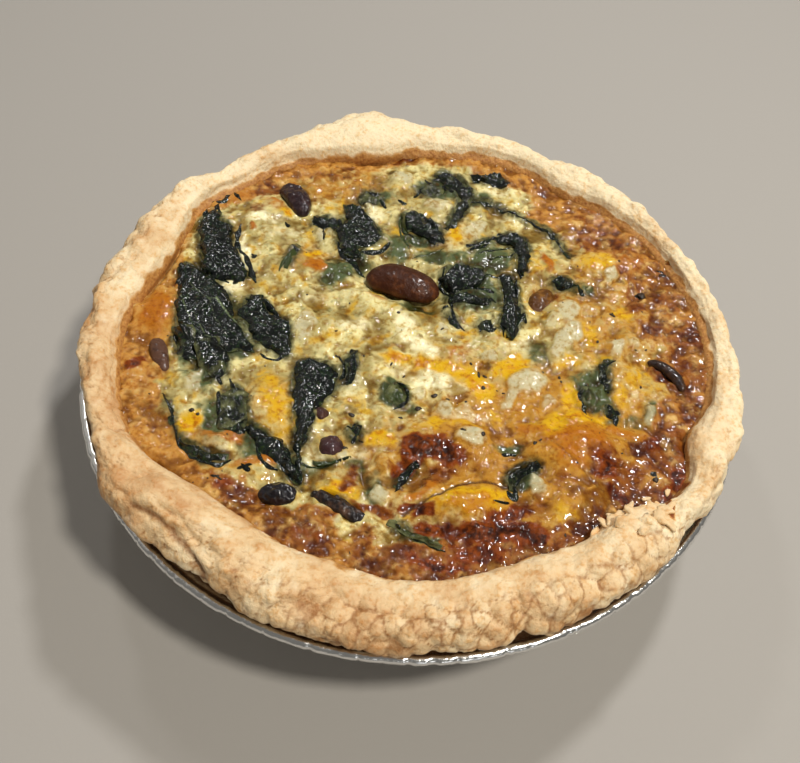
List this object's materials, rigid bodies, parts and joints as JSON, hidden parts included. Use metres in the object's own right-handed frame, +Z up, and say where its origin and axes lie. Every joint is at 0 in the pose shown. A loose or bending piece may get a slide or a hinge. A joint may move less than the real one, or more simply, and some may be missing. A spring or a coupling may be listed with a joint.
{
  "type": "spinach quiche",
  "caption": "Small round spinach quiche in its own foil tin, with a thick pale rolled crust and a browned custard top holding wilted leaves and beans.",
  "frame": {"origin": "centre of the tin's flat base, on the surface it stands on", "axes": "+Z up out of the quiche; +Y to the side of the crust that flares out over the rim; +X to the right of that, seen from above"},
  "size_m": [0.1517, 0.1563, 0.0386],
  "materials": {
    "foil": "thin pressed foil, satin bright, crimped wall and rolled edge",
    "pastry": "baked pastry, pale cream to golden, matt, flaky and cracked",
    "custard": "baked custard and melted cheese, pale yellow to orange, browned in patches, moist",
    "bean": "cooked bean skin, dark red-brown to near black, shiny",
    "spinach": "wilted spinach, very dark green, wrinkled and wet"
  },
  "bodies": {
    "root": {"foil_tin": "foil", "crust": "pastry", "filling": "custard", "bean_01": "bean", "bean_02": "bean", "bean_03": "bean", "bean_04": "bean", "bean_05": "bean", "bean_06": "bean", "bean_07": "bean", "bean_08": "bean", "bean_09": "bean", "spinach_01": "spinach", "spinach_02": "spinach", "spinach_03": "spinach", "spinach_04": "spinach", "spinach_05": "spinach", "spinach_06": "spinach", "spinach_07": "spinach", "spinach_08": "spinach", "spinach_09": "spinach", "spinach_10": "spinach", "spinach_11": "spinach", "spinach_12": "spinach", "spinach_13": "spinach", "spinach_14": "spinach", "spinach_15": "spinach", "spinach_16": "spinach", "spinach_17": "spinach", "spinach_18": "spinach", "spinach_19": "spinach", "spinach_20": "spinach", "spinach_21": "spinach", "spinach_22": "spinach", "spinach_23": "spinach", "spinach_24": "spinach", "spinach_25": "spinach", "spinach_26": "spinach", "spinach_27": "spinach", "spinach_28": "spinach", "spinach_29": "spinach", "spinach_30": "spinach", "spinach_31": "spinach", "spinach_32": "spinach", "spinach_33": "spinach", "spinach_34": "spinach", "spinach_35": "spinach", "spinach_36": "spinach", "spinach_37": "spinach"}
  },
  "joints": []
}
